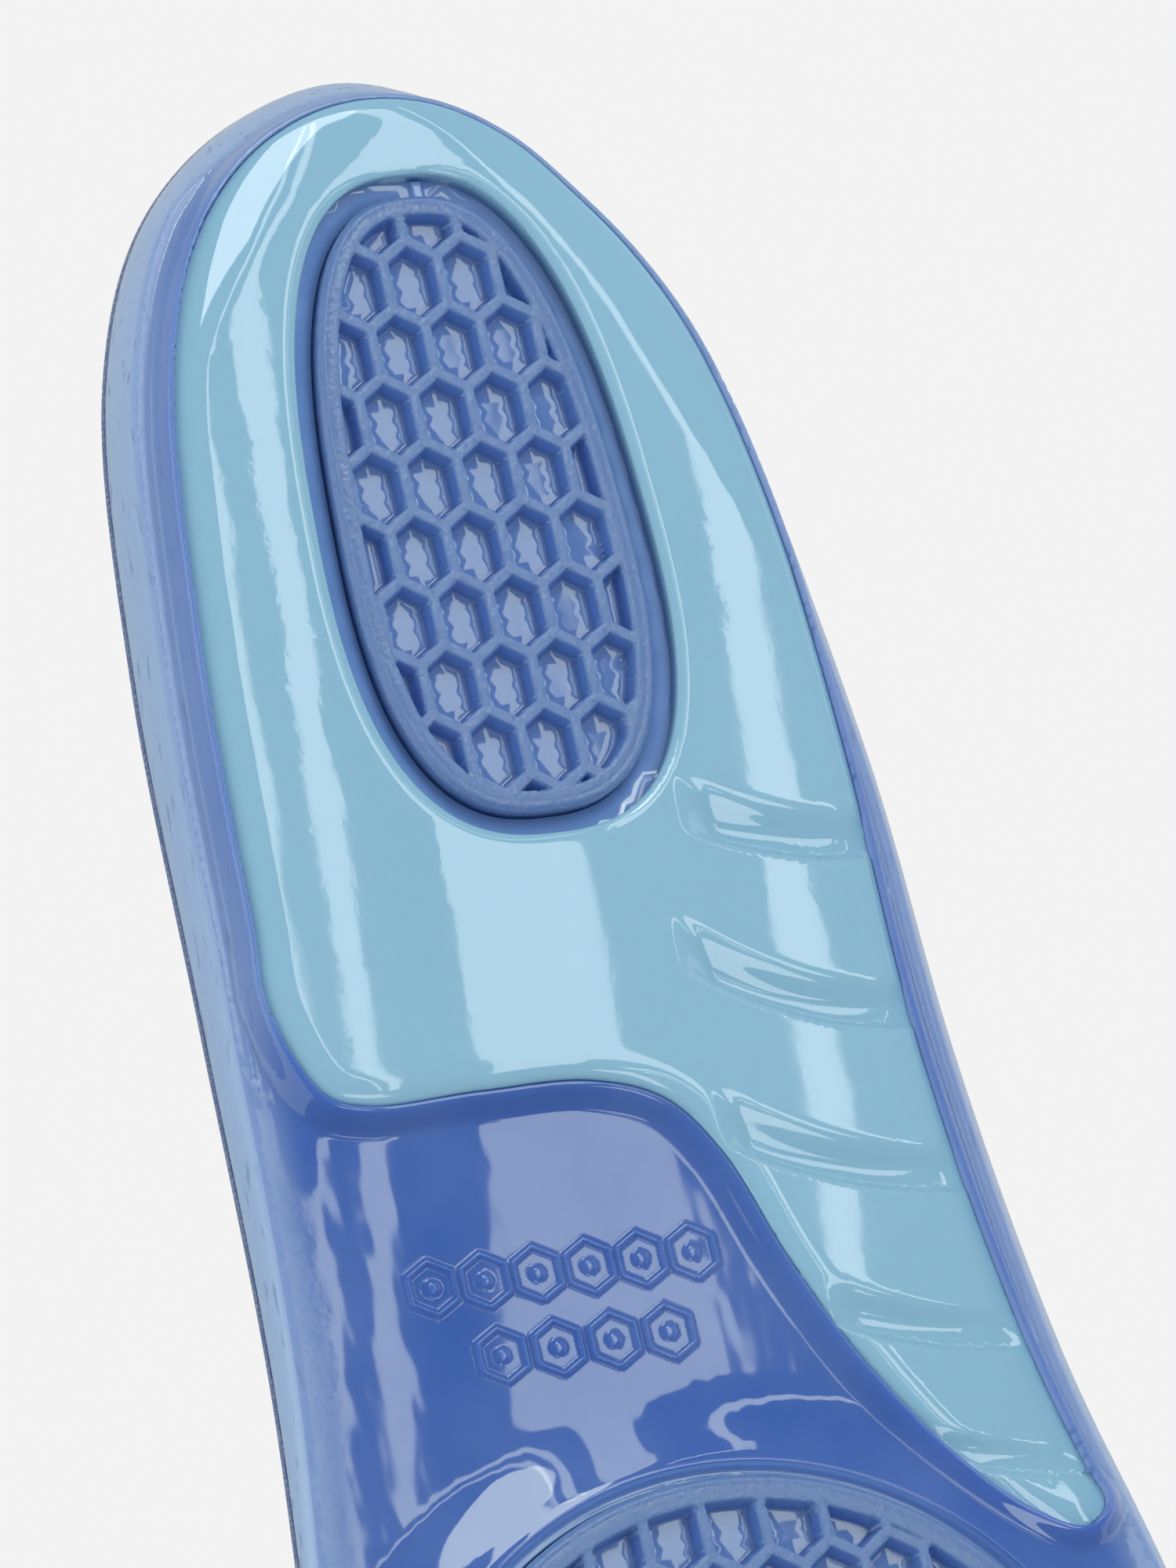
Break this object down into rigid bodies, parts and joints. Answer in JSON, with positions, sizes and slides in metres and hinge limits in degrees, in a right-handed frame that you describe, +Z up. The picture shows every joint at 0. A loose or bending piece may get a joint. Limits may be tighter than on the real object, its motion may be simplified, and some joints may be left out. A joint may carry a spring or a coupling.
{
  "type": "cushioned insole",
  "caption": "Full-length left-foot gel insole with a deep heel cup, honeycomb cushion pads under heel and ball, and a firm arch and heel support frame.",
  "frame": {"origin": "centre of the underside of the bounding box, on the surface the insole rests on", "axes": "+Y toward the toes, +X toward the arch (inner) side of this left insole, +Z up toward the foot"},
  "size_m": [0.0966, 0.29, 0.0146],
  "materials": {
    "cover_fabric": "knit",
    "film": "clear hot-melt film",
    "gel": "glossy translucent gel",
    "frame_plastic": "glossy",
    "pad_gel": "soft gel with frosted ribs"
  },
  "bodies": {
    "root": {"top_cover": "cover_fabric", "bond_film": "film", "gel_body": "gel", "arch_heel_frame": "frame_plastic", "heel_pad": "pad_gel", "forefoot_pad": "pad_gel"}
  },
  "joints": []
}
